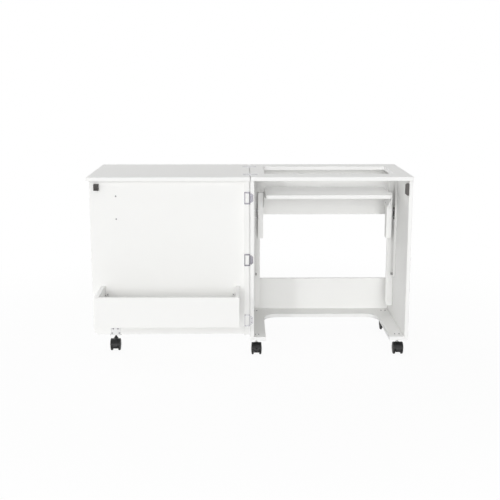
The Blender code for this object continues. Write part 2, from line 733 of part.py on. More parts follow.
def flap_plate_mesh(name, keeps_middle):
    """Make one flush flap plate, reaching to +X from the hinge axis, with its own knuckles."""
    top = TOP_HEIGHT - LEAF_AXIS.z
    middle = FLAP_MIDDLE_KNUCKLE / 2
    plate = box_mesh(name, (FLAP_WIDTH, FLAP_LENGTH, FLAP_STEEL))
    plate.transform(Matrix.Translation((FLAP_WIDTH / 2, 0, top - FLAP_STEEL / 2)))
    steps = [
        ("UNION", rod_mesh("knuckle", KNUCKLE_RADIUS, FLAP_LENGTH - 2 * FIT, "Y", SMALL_SIDES), (0, 0, 0))
    ]
    clear_width = FLAP_SETBACK + OVERCUT
    clear_x = FLAP_SETBACK - clear_width / 2
    if keeps_middle:
        end_length = FLAP_LENGTH / 2 - middle + OVERCUT
        end_place = middle + end_length / 2
        for end in (-1, 1):
            clear = box_mesh("clear_end", (clear_width, end_length, OVERCUT))
            steps.append(("DIFFERENCE", clear, (clear_x, end * end_place, 0)))
    else:
        clear = box_mesh("clear_middle", (clear_width, 2 * (middle + RUN), OVERCUT))
        steps.append(("DIFFERENCE", clear, (clear_x, 0, 0)))
    bore = rod_mesh("bore", PIN_RADIUS + FIT, FLAP_LENGTH + OVERCUT, "Y", SMALL_SIDES)
    steps.append(("DIFFERENCE", bore, (0, 0, 0)))
    return shaped_mesh(name, plate, steps)


def build_flap_hinges():
    """Build the flush hinges that the leaf folds on."""
    cabinet_plate = flap_plate_mesh("flap_hinge_plate", keeps_middle=False)
    leaf_plate = flap_plate_mesh("leaf_hinge_plate", keeps_middle=True)
    leaf_plate.transform(Matrix.Rotation(math.pi, 4, "Z"))
    pin = rod_mesh("flap_hinge_pin", PIN_RADIUS, FLAP_LENGTH, "Y", SMALL_SIDES)
    smooth(pin)
    for which, along in FLAP_PLACES.items():
        place = LEAF_AXIS + Vector((0, along, 0))
        add_piece(f"flap_hinge_plate_{which}", cabinet_plate, STEEL, ROOT, place)
        add_piece(f"flap_hinge_pin_{which}", pin, STEEL, ROOT, place)
        add_piece(f"leaf_hinge_plate_{which}", leaf_plate, STEEL, LEAF, (0, along, 0))


def build_door_caster_bracket():
    """Build the angle bracket under the door's free end that carries its caster."""
    middle_x = DOOR_FREE_EDGE + CASTER_BRACKET_INSET
    left, right = middle_x - CASTER_BRACKET_WIDTH / 2, middle_x + CASTER_BRACKET_WIDTH / 2
    front = DOOR_SEAT - CASTER_BRACKET_STEEL
    back = DOOR_FRONT + DOOR_CASTER_BACK + DOOR_CASTER_MARGIN
    top_of_flange = DOOR_BOTTOM - FIT
    under = top_of_flange - CASTER_BRACKET_STEEL
    top = under + CASTER_BRACKET_HEIGHT
    bracket = add_box("door_caster_bracket", (left, front, under), (right, back, top), STEEL, DOOR)
    inside = box_cutter(
        "caster_bracket_cutter",
        (left - OVERCUT, DOOR_SEAT, top_of_flange),
        (right + OVERCUT, back + OVERCUT, top + OVERCUT),
    )
    combine(bracket, inside)
    for side in (-1, 1):
        shoulder = box_cutter(
            f"caster_bracket_shoulder_cutter_{'left' if side < 0 else 'right'}",
            (middle_x + side * CASTER_UPRIGHT_WIDTH / 2, front - OVERCUT, top_of_flange),
            (middle_x + side * CASTER_BRACKET_WIDTH, DOOR_SEAT + OVERCUT, top + OVERCUT),
        )
        combine(bracket, shoulder)


def caster_hood_mesh(name, stem_top, has_nut=False, has_hole=False):
    """Make a caster's housing, fenders and stem. The origin is on the swivel axis, at the floor."""
    axle = Vector((0, -CASTER_TRAIL, AXLE_HEIGHT))
    shell = rod_mesh(name, HOOD_RADIUS, CASTER_WIDTH - 2 * HOOD_INSET, "X", ROUND_SIDES)
    round_rims(shell, "X", HOOD_ROUND)
    shell.transform(Matrix.Translation(axle))

    rods = [("boss", BOSS_RADIUS, BOSS_TOP), ("stem", STEM_RADIUS, stem_top)]
    if has_nut:
        rods += [("nut", NUT_RADIUS, NUT_TOP), ("collar", COLLAR_RADIUS, NUT_TOP + COLLAR_HEIGHT)]
    steps = []
    for part, radius, top in rods:
        rod = rod_mesh(part, radius, top - AXLE_HEIGHT, "Z", SMALL_SIDES)
        steps.append(("UNION", rod, (0, 0, (top + AXLE_HEIGHT) / 2)))
    under = box_mesh("under", (2 * CASTER_WIDTH, 4 * HOOD_RADIUS, 2 * HOUSING_LIFT))
    steps.append(("DIFFERENCE", under, axle - Vector((0, 0, AXLE_HEIGHT))))
    bore = rod_mesh("bore", AXLE_RADIUS + FIT, CASTER_WIDTH, "X", SMALL_SIDES)
    steps.append(("DIFFERENCE", bore, axle))
    for side in (-1, 1):
        beside = axle + Vector((side * (CASTER_WIDTH + CASTER_HOUSING) / 2, 0, 0))
        round_well = rod_mesh("well", WHEEL_RADIUS + HOOD_GAP, CASTER_WIDTH, "X", ROUND_SIDES)
        below = box_mesh("below_fender", (CASTER_WIDTH, 2 * HOOD_RADIUS, 2 * FENDER_LIFT))
        well = shaped_mesh("well", round_well, [("UNION", below, (0, -HOOD_RADIUS, -AXLE_HEIGHT))])
        steps.append(("DIFFERENCE", well, beside))
    if has_hole:
        hole = rod_mesh("mould_hole", MOULD_HOLE_RADIUS, 2 * MOULD_HOLE_DEPTH, "Y", SMALL_SIDES)
        steps.append(("DIFFERENCE", hole, axle - Vector((0, HOOD_RADIUS, 0))))
    return shaped_mesh(name, shell, steps)


def wheel_profile():
    """Make the turned outline of two wheels on their axle, from the top of the outer side down."""
    face = CASTER_WIDTH / 2
    inner = CASTER_HOUSING / 2 + RUN
    rim = WHEEL_RADIUS - WHEEL_ROUND
    half = []
    for step in range(DOME_STEPS + 1):
        share = step / DOME_STEPS
        half.append((share * rim, face - WHEEL_DOME * share ** 2))
    half += [
        (WHEEL_RADIUS, face - WHEEL_DOME - WHEEL_ROUND),
        (WHEEL_RADIUS, inner + WHEEL_ROUND),
        (rim, inner),
        (AXLE_RADIUS, inner),
    ]
    outline = half + [(radius, -height) for radius, height in reversed(half)]
    mesh = bpy.data.meshes.new("caster_wheels")
    shape = bmesh.new()
    points = [shape.verts.new((radius, 0, height)) for radius, height in outline]
    for start, end in zip(points, points[1:]):
        shape.edges.new((start, end))
    shape.to_mesh(mesh)
    shape.free()
    return mesh


def add_caster(which, hood, wheels, body, place):
    """Add one caster: a swivel empty with the hood, and the wheel pair turning on its axle."""
    swivel = add_empty(f"swivel_{which}", body, place)
    add_piece(f"caster_hood_{which}", hood, BLACK, swivel, (0, 0, 0))
    pair = add_piece(f"caster_wheels_{which}", wheels, NYLON, swivel, (0, -CASTER_TRAIL, AXLE_HEIGHT))
    flat_down = Matrix.Rotation(math.pi / WHEEL_SIDES, 4, "X")
    axle_across = Matrix.Rotation(math.pi / 2, 4, "Y")
    pair.rotation_euler = (flat_down @ axle_across).to_euler()
    turning = pair.modifiers.new("turned", "SCREW")
    turning.axis = "Z"
    turning.steps = WHEEL_SIDES
    turning.render_steps = WHEEL_SIDES
    turning.use_merge_vertices = True
    turning.merge_threshold = WELD


def build_casters():
    """Build the four casters under the base, their mounting plates, and the door's caster."""
    wheels = wheel_profile()
    stem_top = PLATE_UNDER - FIT
    plain_hood = caster_hood_mesh("caster_hood", stem_top)
    holed_hood = caster_hood_mesh("holed_caster_hood", stem_top, has_hole=True)
    plate = box_mesh("caster_plate", (PLATE_SIZE, PLATE_SIZE, PLATE_STEEL))
    round_edges_along(plate, "Z", PLATE_ROUND, BEVEL_STEPS)
    rows = {"front": PANEL_FRONT + CASTER_FRONT_INSET, "back": PANEL_BACK - CASTER_BACK_INSET}
    columns = {"left": CASTER_LEFT_INSET, "right": CASTER_RIGHT_INSET}
    for row, along in rows.items():
        for side, inset in columns.items():
            which = f"{row}_{side}"
            place = Vector((across(side, inset), along, 0))
            hood = holed_hood if which == MOULD_HOLE_CASTER else plain_hood
            add_caster(which, hood, wheels, ROOT, place)
            plate_place = place + Vector((0, 0, PLATE_UNDER + PLATE_STEEL / 2))
            add_piece(f"caster_plate_{which}", plate, STEEL, ROOT, plate_place)

    bracket_under = DOOR_BOTTOM - FIT - CASTER_BRACKET_STEEL
    long_hood = caster_hood_mesh("door_caster_hood", bracket_under - FIT, has_nut=True)
    place = Vector((DOOR_FREE_EDGE + DOOR_CASTER_INSET, DOOR_FRONT + DOOR_CASTER_BACK, 0)) - DOOR_AXIS
    add_caster("door", long_hood, wheels, DOOR, place)


def main():
    """Build every piece of the cabinet."""
    build_tops()
    build_carcase()
    for side in ("left", "right"):
        build_lift_guides(side)
        build_lift_side(side)
    build_platform()
    build_door()
    build_bin()
    build_catch()
    build_pull()
    build_door_hinges()
    build_flap_hinges()
    build_door_caster_bracket()
    build_casters()


PARTS, CUTTERS = clear_scene()
WHITE = finish("white_melamine", (0.86, 0.86, 0.85), 0.45)
STEEL = finish("zinc_plated_steel", (0.56, 0.58, 0.62), 0.38, 0.9)
NICKEL = finish("brushed_nickel", (0.62, 0.61, 0.59), 0.3, 1.0)
COATED = finish("white_coated_steel", (0.82, 0.82, 0.81), 0.4)
BLACK = finish("black_plastic", (0.025, 0.025, 0.027), 0.5)
NYLON = finish("black_nylon", (0.02, 0.02, 0.021), 0.4)
ROOT = add_empty("cabinet", None, (0, -(BIN_FRONT + TOP_BACK) / 2, 0))
LEAF = add_empty("leaf", ROOT, LEAF_AXIS)
DOOR = add_empty("door", ROOT, DOOR_AXIS)
LIFT = add_empty("lift", ROOT, (CABINET_WIDTH / 2, CARRIER_FRONT, PLATFORM_UNDER))
main()
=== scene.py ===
"""The looks of the sewing cabinet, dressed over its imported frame.

Metres, in the frame's axes: +X from the leaf to the cabinet, +Y from the sewer to the back, +Z up.
"""

import json
import math

import bmesh
import bpy
from mathutils import Matrix, Vector


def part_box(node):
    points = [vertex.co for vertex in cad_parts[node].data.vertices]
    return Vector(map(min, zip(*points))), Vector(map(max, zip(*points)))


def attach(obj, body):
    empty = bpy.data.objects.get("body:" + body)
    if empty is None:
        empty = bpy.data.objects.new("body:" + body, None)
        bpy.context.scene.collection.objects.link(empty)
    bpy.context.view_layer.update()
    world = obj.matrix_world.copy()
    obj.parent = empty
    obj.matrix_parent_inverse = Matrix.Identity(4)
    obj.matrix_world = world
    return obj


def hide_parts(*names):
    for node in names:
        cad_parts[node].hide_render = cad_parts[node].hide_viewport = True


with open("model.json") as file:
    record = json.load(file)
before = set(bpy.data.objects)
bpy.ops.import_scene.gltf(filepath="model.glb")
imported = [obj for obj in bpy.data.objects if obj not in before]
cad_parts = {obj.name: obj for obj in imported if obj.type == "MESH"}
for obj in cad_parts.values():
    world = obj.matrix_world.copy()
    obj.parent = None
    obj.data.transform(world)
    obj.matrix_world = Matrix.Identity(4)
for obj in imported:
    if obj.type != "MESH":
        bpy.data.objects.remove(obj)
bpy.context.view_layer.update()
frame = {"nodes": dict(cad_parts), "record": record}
NODES = frame["nodes"]
RECORD = frame["record"]

# Directions that screws, tubes and wheels face
RIGHTWARD = (1, 0, 0)
FRONTWARD = (0, -1, 0)
UPWARD = (0, 0, 1)
DOWNWARD = (0, 0, -1)

# Camera at the photograph's viewing angle
CAMERA_PLACE = (-0.0464, -3.9413, 1.2306)
CAMERA_PITCH = math.radians(11.404)      # below the horizon
CAMERA_YAW = math.radians(0.682)         # to the right
CAMERA_SENSOR = 36.0                     # millimetres
CAMERA_LENS = 66.53

# Studio light
WORLD_LEVEL = 0.33                       # backdrop as a light
BACKDROP_LEVEL = 1.0                     # backdrop as the camera and shiny surfaces see it
PLAIN_WHITE = (1, 1, 1, 1)               # colour of the backdrop, and of the floor further off
LAMPS = {                                # degrees to the camera's right, degrees up, spread, strength
    "front_fill": (0, 8, 20, 1.08),
    "key": (-24, 19, 4, 0.38),
    "left_fill": (-75, 10, 40, 0.30),
    "overhead": (0, 78, 60, 0.54),
    "back_left": (-140, 20, 60, 0.85),
}
FLOOR_HALF = 30.0                        # from the floor's middle to its edges
FLOOR_DROP = 0.0002                      # floor below the wheels, so that the two don't flicker
FLOOR_WHITE = (0.97, 0.97, 0.97, 1)      # colour of the floor's own shading
FLOOR_SHADE = 0.06                       # share of the floor's own shading near the object
FLOOR_FADE = (0.9, 2.2)                  # distances over which the shading fades to plain white

# Finishes
MELAMINE_WHITE = (0.925, 0.925, 0.912, 1)
MELAMINE_SHADE = (0.910, 0.910, 0.896, 1)
BAND_WHITE = (0.930, 0.930, 0.920, 1)
ZINC_PALE = (0.57, 0.57, 0.58, 1)
ZINC_DARK = (0.47, 0.47, 0.485, 1)
NEW_ZINC_PALE = (0.69, 0.69, 0.69, 1)    # brighter plating of the door's caster bracket
NEW_ZINC_DARK = (0.58, 0.58, 0.58, 1)
GREY_ZINC_PALE = (0.27, 0.265, 0.29, 1)  # duller plating of the upper door hinges and most screws
GREY_ZINC_DARK = (0.19, 0.185, 0.205, 1)
NICKEL_PALE = (0.66, 0.64, 0.61, 1)
NICKEL_DARK = (0.52, 0.50, 0.47, 1)
COAT_WHITE = (0.83, 0.83, 0.82, 1)
COAT_SHADE = (0.80, 0.80, 0.785, 1)
BLACK = (0.012, 0.012, 0.013, 1)
BLACK_GREY = (0.022, 0.022, 0.024, 1)
STRIKE_BROWN = (0.040, 0.036, 0.034, 1)
STRIKE_PALE = (0.060, 0.055, 0.052, 1)
CATCH_BROWN = (0.095, 0.088, 0.085, 1)
CATCH_PALE = (0.125, 0.117, 0.113, 1)
STOP_GREY = (0.25, 0.25, 0.25, 1)
STOP_PALE = (0.33, 0.33, 0.32, 1)
NYLON = (0.010, 0.010, 0.011, 1)
NYLON_DUSTY = (0.032, 0.031, 0.030, 1)
DULL_SHINE = 0.3                         # specular level of the plastics
BOARD_SHINE = 0.25                       # specular level of the boards
FACE_COSINE = 0.8                        # normals that agree better with the thickness are on a face
NOISE_MIDDLE = (0.3, 0.7)                # part of a noise's range that the finishes spread out
ROLLING_STRETCH = (1, 1, 0.06)           # rolling marks run along Z
BRUSH_STRETCH = (0.05, 0.05, 1)          # brush marks run round the pull's upright bar
MIX_COLOURS = (6, 7)                     # sockets of a mix node's two colours
MIX_RESULT = 2                           # socket of the mixed colour
SMOOTH_ANGLE = math.radians(35)          # edges that turn more than this stay sharp
FLAT_ANGLE = math.radians(1)             # faces that differ by less are one
WELD = 0.000005                          # points closer than this are one

# Screws
SCREW_SIDES = 24
SMALL_SCREW = 0.0024                     # radius of the heads on the hinges and the bin's corners
FLUSH_RISE = 0.0003                      # countersunk heads above their plate
FLAP_RISE = 0.0002                       # the same on the flap hinges, which fold nearly shut
PAN_SCREW = 0.0032                       # radius of the larger screws' heads
PAN_RISE = 0.0018                        # domed heads above their surface
SCREW_ROOT = 0.0006                      # head's rim below the surface
SCREW_DOME = ((0, 1), (0.45, 0.95), (0.75, 0.72), (0.94, 0.30), (1, 0))    # shares of radius and rise
CROSS_LENGTH = 1.15                      # of the cross recess, as a share of the head's radius
CROSS_WIDTH = 0.26
CROSS_FLOOR = 0.1                        # share of the rise left under the recess
GOLDEN_TURN = math.radians(137.5)        # turn from one screw's cross to the next
KNUCKLE_PROUD = 0.0014                   # door hinge's knuckle in front of its plates
FRAME_SCREW_ACROSS = 0.0036              # from the hinge frame's free edge
FRAME_SCREW_IN = 0.0031                  # from the hinge frame's ends
TONGUE_SCREW_ACROSS = 0.0062             # from the hinge tongue's free edge
TONGUE_SCREW_HALF = 0.0085               # above and below the tongue's middle
FLAP_SCREWS = ((-0.020, 0.011), (0, 0.007), (0.020, 0.011))    # along the plate, from its free edge
PULL_ROD = 0.005                         # radius of the pull's bar
BRACKET_SCREWS = ((0.010, 0.0055), (0.0155, 0.0245))    # from the upright's middle, below its top
BASE_SCREWS = {"left": (-0.0044, 0.009), "right": (-0.013, 0.006)}    # across, from the caster plate
BASE_SCREW_ALONG = {"front": -0.010, "back": 0.005}
PLATE_SCREW = 0.0135                     # caster plate's screws from its middle, both ways
RAIL_WALL = 0.0018                       # thickness of the slide rails
RAIL_SCREW_INSET = 0.040                 # from the slide rail's ends
LIFT_STEEL = 0.003                       # thickness of the platform brackets
FLANGE_SCREWS = (0.030, 0.090)           # along the flange, from the bracket's front
FLANGE_SCREW_ACROSS = 0.014              # from the flange's free edge
UPRIGHT_SCREWS = ((0.014, 0.024), (0.032, 0.046))    # from the bracket's back, below its top

# Small steel pieces
TUBE_SIDES = 32
TUBE_WALL = 0.0006
TUBE_RIM = 0.0003
PIN_RADIUS = 0.0025                      # slide shoe's pins
PIN_HALF_SPACING = 0.015
PIN_LENGTH = 0.0117
STEM_RADIUS = 0.0046                     # casters' stems
STEM_LENGTH = 0.0186
CORNER_LEG = 0.016                       # bin's corner brackets
CORNER_STEEL = 0.0015
CORNER_DROP = 0.030                      # below the bin's rim
CORNER_SCREW = 0.6                       # share of the leg, from the bracket's corner
CORNER_BEVEL = 0.0004
CORNER_BEVEL_STEPS = 2
ROUND_PROFILE = 0.5                      # shape of the softened edges

# Wheels
WHEEL_SIDES = 64
WHEEL_AXLE = 0.003
WHEEL_INNER = 0.01175                    # inner faces from the middle of the pair
WHEEL_FACE = (                           # share of the radius, depth below the hub cap
    (0.22, 0.0001), (0.25, 0.0005), (0.27, 0.0013), (0.30, 0.0013), (0.33, 0.0005), (0.60, 0.0010),
    (0.80, 0.0017), (0.83, 0.0024), (0.86, 0.0024), (0.89, 0.0020), (0.94, 0.0026), (0.98, 0.0040),
)
TREAD_OUTER = 0.0060                     # tread's outer edge below the hub cap
TREAD_SHOULDER = 0.0030                  # round of the tread's inner edge
SHOULDER_MIDDLE = 0.0010                 # middle of that round, from the tread and from the inner face

# Hoods over the wheels, and the strike block
CASTERS = ("front_left", "front_right", "back_left", "back_right", "door")
HOOD_LIFT = 0.0148                       # floor to the hoods' lower edge
HOOD_CUTTER = (2, 3)                     # width and depth of the cutter, times the hood's
HOOD_WALL_SLACK = 0.0005                 # flat faces of a hood's round wall inside its radius
HOOD_WALL_COSINE = 0.98                  # face and spoke that agree this well are on the round wall
PLAIN_HOOD = "front_right"               # its hood has no mould hole
MOULD_HOLE_CASTER = "front_left"
MOULD_HOLE_RISE = 0.0080                 # above the axle
MOULD_HOLE_RADIUS = 0.0034
MOULD_HOLE_DEPTH = 0.018
MOULD_HOLE_SIDES = 32
STRIKE_WIDTH = 0.0217
STRIKE_HEIGHT = 0.028
STRIKE_RIGHT_INSET = 0.0004              # from the right side of the frame's block
STRIKE_DRAFT = 0.94                      # face's share of the foot's size
STRIKE_ROUND = 0.0012
STRIKE_ROUND_STEPS = 3


class Finish:
    """A material in the making, with short ways to add the nodes that the finishes share."""

    def __init__(self, name, metallic=0.0):
        """Start from the plain shader."""
        self.made = bpy.data.materials.new(name)
        self.made.use_nodes = True
        self.tree = self.made.node_tree
        self.shader = self.tree.nodes["Principled BSDF"]
        self.shader.inputs["Metallic"].default_value = metallic
        self.coordinates = self.add("ShaderNodeTexCoord")

    def add(self, kind):
        """Add a node."""
        return self.tree.nodes.new(kind)

    def link(self, output, target):
        """Link a node's output to another node's input."""
        self.tree.links.new(output, target)

    def noise(self, scale, detail, stretch=(1, 1, 1)):
        """Add noise in the piece's own coordinates. A factor under 1 stretches it along that axis."""
        mapping = self.add("ShaderNodeMapping")
        mapping.inputs["Scale"].default_value = stretch
        self.link(self.coordinates.outputs["Object"], mapping.inputs["Vector"])
        noise = self.add("ShaderNodeTexNoise")
        noise.inputs["Scale"].default_value = scale
        noise.inputs["Detail"].default_value = detail
        self.link(mapping.outputs["Vector"], noise.inputs["Vector"])
        return noise.outputs["Fac"]

    def between(self, factor, low, high):
        """Spread the middle of a noise over the values from low to high."""
        spread = self.add("ShaderNodeMapRange")
        spread.inputs["From Min"].default_value = NOISE_MIDDLE[0]
        spread.inputs["From Max"].default_value = NOISE_MIDDLE[1]
        spread.inputs["To Min"].default_value = low
        spread.inputs["To Max"].default_value = high
        self.link(factor, spread.inputs["Value"])
        return spread.outputs["Result"]

    def mix(self, factor, first, second):
        """Mix two colours, each a value or another node's output."""
        mixer = self.add("ShaderNodeMix")
        mixer.data_type = "RGBA"
        self.link(factor, mixer.inputs[0])
        for index, colour in zip(MIX_COLOURS, (first, second)):
            if isinstance(colour, tuple):
                mixer.inputs[index].default_value = colour
            else:
                self.link(colour, mixer.inputs[index])
        return mixer.outputs[MIX_RESULT]

    def colour(self, output):
        """Take the colour from a node's output."""
        self.link(output, self.shader.inputs["Base Color"])

    def roughness(self, output):
        """Take the roughness from a node's output."""
        self.link(output, self.shader.inputs["Roughness"])

    def bump(self, height, strength, distance):
        """Shade the surface as if a node's output raised it."""
        bump = self.add("ShaderNodeBump")
        bump.inputs["Strength"].default_value = strength
        bump.inputs["Distance"].default_value = distance
        self.link(height, bump.inputs["Height"])
        self.link(bump.outputs["Normal"], self.shader.inputs["Normal"])


def melamine(axis):
    """Make white melamine for a board that is thin along an axis: mottled faces, plain edge band."""
    look = Finish(f"white_melamine_{'xyz'[axis]}")
    look.shader.inputs["Specular IOR Level"].default_value = BOARD_SHINE
    parts = look.add("ShaderNodeSeparateXYZ")
    look.link(look.coordinates.outputs["Normal"], parts.inputs["Vector"])
    facing = look.add("ShaderNodeMath")
    facing.operation = "ABSOLUTE"
    look.link(parts.outputs[axis], facing.inputs[0])
    on_face = look.add("ShaderNodeMath")
    on_face.operation = "GREATER_THAN"
    on_face.inputs[1].default_value = FACE_COSINE
    look.link(facing.outputs[0], on_face.inputs[0])

    face = look.mix(look.noise(scale=7, detail=4), MELAMINE_SHADE, MELAMINE_WHITE)
    look.colour(look.mix(on_face.outputs[0], BAND_WHITE, face))
    look.roughness(look.between(look.noise(scale=60, detail=3), low=0.58, high=0.68))
    look.bump(look.noise(scale=900, detail=3), strength=0.06, distance=0.0002)
    return look.made


def zinc(name, dark, pale):
    """Make zinc-plated steel with fine rolling marks."""
    look = Finish(name, metallic=1.0)
    marks = look.noise(scale=260, detail=3, stretch=ROLLING_STRETCH)
    look.colour(look.mix(look.noise(scale=45, detail=4), dark, pale))
    look.roughness(look.between(marks, low=0.28, high=0.44))
    look.bump(marks, strength=0.05, distance=0.0001)
    return look.made


def nickel():
    """Make brushed nickel, with its brush marks round the bar."""
    look = Finish("brushed_nickel", metallic=1.0)
    marks = look.noise(scale=700, detail=2, stretch=BRUSH_STRETCH)
    look.colour(look.mix(marks, NICKEL_DARK, NICKEL_PALE))
    look.roughness(look.between(marks, low=0.22, high=0.36))
    look.bump(marks, strength=0.05, distance=0.0001)
    return look.made


def powder_coat():
    """Make white powder coat with its fine orange peel."""
    look = Finish("white_coated_steel")
    look.colour(look.mix(look.noise(scale=30, detail=3), COAT_SHADE, COAT_WHITE))
    look.roughness(look.between(look.noise(scale=120, detail=2), low=0.34, high=0.46))
    look.bump(look.noise(scale=1100, detail=2), strength=0.12, distance=0.0002)
    return look.made


def moulded_plastic(name, dark, pale):
    """Make moulded plastic with a spark-eroded texture."""
    look = Finish(name)
    look.shader.inputs["Specular IOR Level"].default_value = DULL_SHINE
    look.colour(look.mix(look.noise(scale=70, detail=4), dark, pale))
    look.roughness(look.between(look.noise(scale=400, detail=3), low=0.38, high=0.52))
    look.bump(look.noise(scale=1600, detail=3), strength=0.18, distance=0.0002)
    return look.made


def black_nylon():
    """Make the wheels' nylon, a little dusty from rolling."""
    look = Finish("black_nylon")
    look.shader.inputs["Specular IOR Level"].default_value = DULL_SHINE
    dust = look.between(look.noise(scale=130, detail=5), low=0.0, high=0.5)
    look.colour(look.mix(dust, NYLON, NYLON_DUSTY))
    look.roughness(look.between(look.noise(scale=220, detail=3), low=0.34, high=0.52))
    look.bump(look.noise(scale=900, detail=3), strength=0.12, distance=0.0002)
    return look.made


def dress(mesh, finish):
    """Give a mesh one finish, and shade it smooth between its sharp edges."""
    mesh.materials.clear()
    mesh.materials.append(finish)
    mesh.shade_smooth()
    mesh.set_sharp_from_angle(angle=SMOOTH_ANGLE)


def paint_nodes(finishes, own):
    """Give each node its own finish or that of its material slot."""
    for part in RECORD["subparts"]:
        name = part["node"]
        slot = part["material_slot"]
        if slot == "white_melamine":
            low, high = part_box(name)
            size = list(high - low)
            finish = finishes[slot][size.index(min(size))]
        else:
            finish = own.get(name, finishes[slot])
        dress(NODES[name].data, finish)


def add_piece(name, mesh, body, finish):
    """Add a new piece with a finish, which rides on a body."""
    dress(mesh, finish)
    piece = bpy.data.objects.new(name, mesh)
    bpy.context.scene.collection.objects.link(piece)
    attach(piece, body)
    return piece


def lathe(profile, sides):
    """Turn an outline of radius and height pairs about the Z axis, welded where it meets the axis."""
    shape = bmesh.new()
    points = [shape.verts.new((radius, 0, height)) for radius, height in profile]
    edges = [shape.edges.new(pair) for pair in zip(points, points[1:])]
    bmesh.ops.spin(
        shape, geom=points + edges, cent=(0, 0, 0), axis=(0, 0, 1), angle=2 * math.pi, steps=sides,
        use_merge=True,
    )
    bmesh.ops.remove_doubles(shape, verts=shape.verts, dist=WELD)
    bmesh.ops.recalc_face_normals(shape, faces=shape.faces)
    return shape


def soften(shape, width, steps):
    """Round all edges of a shape."""
    bmesh.ops.bevel(
        shape, geom=shape.edges[:], offset=width, segments=steps, profile=ROUND_PROFILE, affect="EDGES"
    )


def to_mesh(shape, name):
    """Turn a finished shape into a mesh."""
    mesh = bpy.data.meshes.new(name)
    shape.to_mesh(mesh)
    shape.free()
    return mesh


def cut(mesh, cutter_mesh):
    """Cut one mesh out of another, and give what is left."""
    whole = bpy.data.objects.new("whole", mesh)
    cutter = bpy.data.objects.new("cutter", cutter_mesh)
    for item in (whole, cutter):
        bpy.context.scene.collection.objects.link(item)
    difference = whole.modifiers.new("difference", "BOOLEAN")
    difference.object = cutter
    difference.use_self = True
    graph = bpy.context.evaluated_depsgraph_get()
    made = bpy.data.meshes.new_from_object(whole.evaluated_get(graph))
    for item in (whole, cutter):
        bpy.data.objects.remove(item, do_unlink=True)
    return made


def flat_faces(mesh):
    """Merge a mesh's triangles that lie in one plane, so that it shades evenly."""
    shape = bmesh.new()
    shape.from_mesh(mesh)
    bmesh.ops.remove_doubles(shape, verts=shape.verts, dist=WELD)
    bmesh.ops.dissolve_limit(shape, angle_limit=FLAT_ANGLE, verts=shape.verts, edges=shape.edges)
    return to_mesh(shape, mesh.name)


def screw_mesh(radius, rise):
    """Make a domed screw head with a cross recess, seated on z = 0 and facing +Z."""
    profile = [(share * radius, height * rise) for share, height in SCREW_DOME]
    profile += [(radius, -SCREW_ROOT), (0, -SCREW_ROOT)]
    # Each arm of the cutter is twice as tall as the dome, and its lower face makes the recess's floor.
    arm = Matrix.Diagonal((CROSS_LENGTH * radius, CROSS_WIDTH * radius, 2 * rise, 1))
    lift = Matrix.Translation((0, 0, (1 + CROSS_FLOOR) * rise))
    cross = bmesh.new()
    for turn in (0, math.pi / 2):
        bmesh.ops.create_cube(cross, size=1, matrix=lift @ Matrix.Rotation(turn, 4, "Z") @ arm)
    return cut(to_mesh(lathe(profile, SCREW_SIDES), "screw"), to_mesh(cross, "cross"))


def copies(name, mesh, places, facing):
    """Join one copy of a mesh at each place, turned to face a direction, each with its own turn."""
    upright = Vector(facing).to_track_quat("Z", "Y").to_matrix().to_4x4()
    joined = bmesh.new()
    for index, place in enumerate(places):
        copy = mesh.copy()
        turn = Matrix.Rotation(index * GOLDEN_TURN, 4, "Z")
        copy.transform(Matrix.Translation(place) @ upright @ turn)
        joined.from_mesh(copy)
        bpy.data.meshes.remove(copy)
    return to_mesh(joined, name)


def middle(node):
    """Give the middle of a node's box."""
    low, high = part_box(node)
    return (low + high) / 2


def add_screws(name, screw, places, facing, body, finish):
    """Add a group of equal screws that face one way and ride on a body."""
    add_piece(name, copies(name, screw, places, facing), body, finish)


def add_hinge_screws(steel):
    """Add the flush screws of the door's nested hinges and of the flap hinges."""
    screw = screw_mesh(SMALL_SCREW, FLUSH_RISE)
    for which in ("bottom", "middle", "top"):
        low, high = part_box(f"door_hinge_frame_{which}")
        front = low.y + KNUCKLE_PROUD
        across = low.x + FRAME_SCREW_ACROSS
        places = [(across, front, low.z + FRAME_SCREW_IN), (across, front, high.z - FRAME_SCREW_IN)]
        add_screws(f"door_hinge_frame_screws_{which}", screw, places, FRONTWARD, "door", steel)
        low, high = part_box(f"door_hinge_tongue_{which}")
        across = high.x - TONGUE_SCREW_ACROSS
        height = (low.z + high.z) / 2
        places = [(across, front, height + side * TONGUE_SCREW_HALF) for side in (-1, 1)]
        add_screws(f"door_hinge_tongue_screws_{which}", screw, places, FRONTWARD, "cabinet", steel)

    flat = screw_mesh(SMALL_SCREW, FLAP_RISE)
    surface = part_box("main_top")[1].z
    for which in ("front", "back"):
        for kind, body, side in (("flap", "cabinet", 1), ("leaf", "leaf", -1)):
            low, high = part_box(f"{kind}_hinge_plate_{which}")
            free_edge = high.x if side > 0 else low.x
            along = (low.y + high.y) / 2
            places = [(free_edge - side * inset, along + place, surface) for place, inset in FLAP_SCREWS]
            add_screws(f"{kind}_hinge_screws_{which}", flat, places, UPWARD, body, steel)


def add_door_screws(steel):
    """Add the pull's screws, which show on the door's bin face, and the caster bracket's."""
    screw = screw_mesh(PAN_SCREW, PAN_RISE)
    low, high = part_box("door_pull")
    across = (low.x + high.x) / 2
    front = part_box("door_panel")[0].y
    places = [(across, front, low.z + PULL_ROD), (across, front, high.z - PULL_ROD)]
    add_screws("door_pull_screws", screw, places, FRONTWARD, "door", steel)

    low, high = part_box("door_caster_bracket")
    across = (low.x + high.x) / 2
    places = []
    for half, drop in BRACKET_SCREWS:
        places += [(across + side * half, low.y, high.z - drop) for side in (-1, 1)]
    add_screws("door_caster_bracket_screws", screw, places, FRONTWARD, "door", steel)


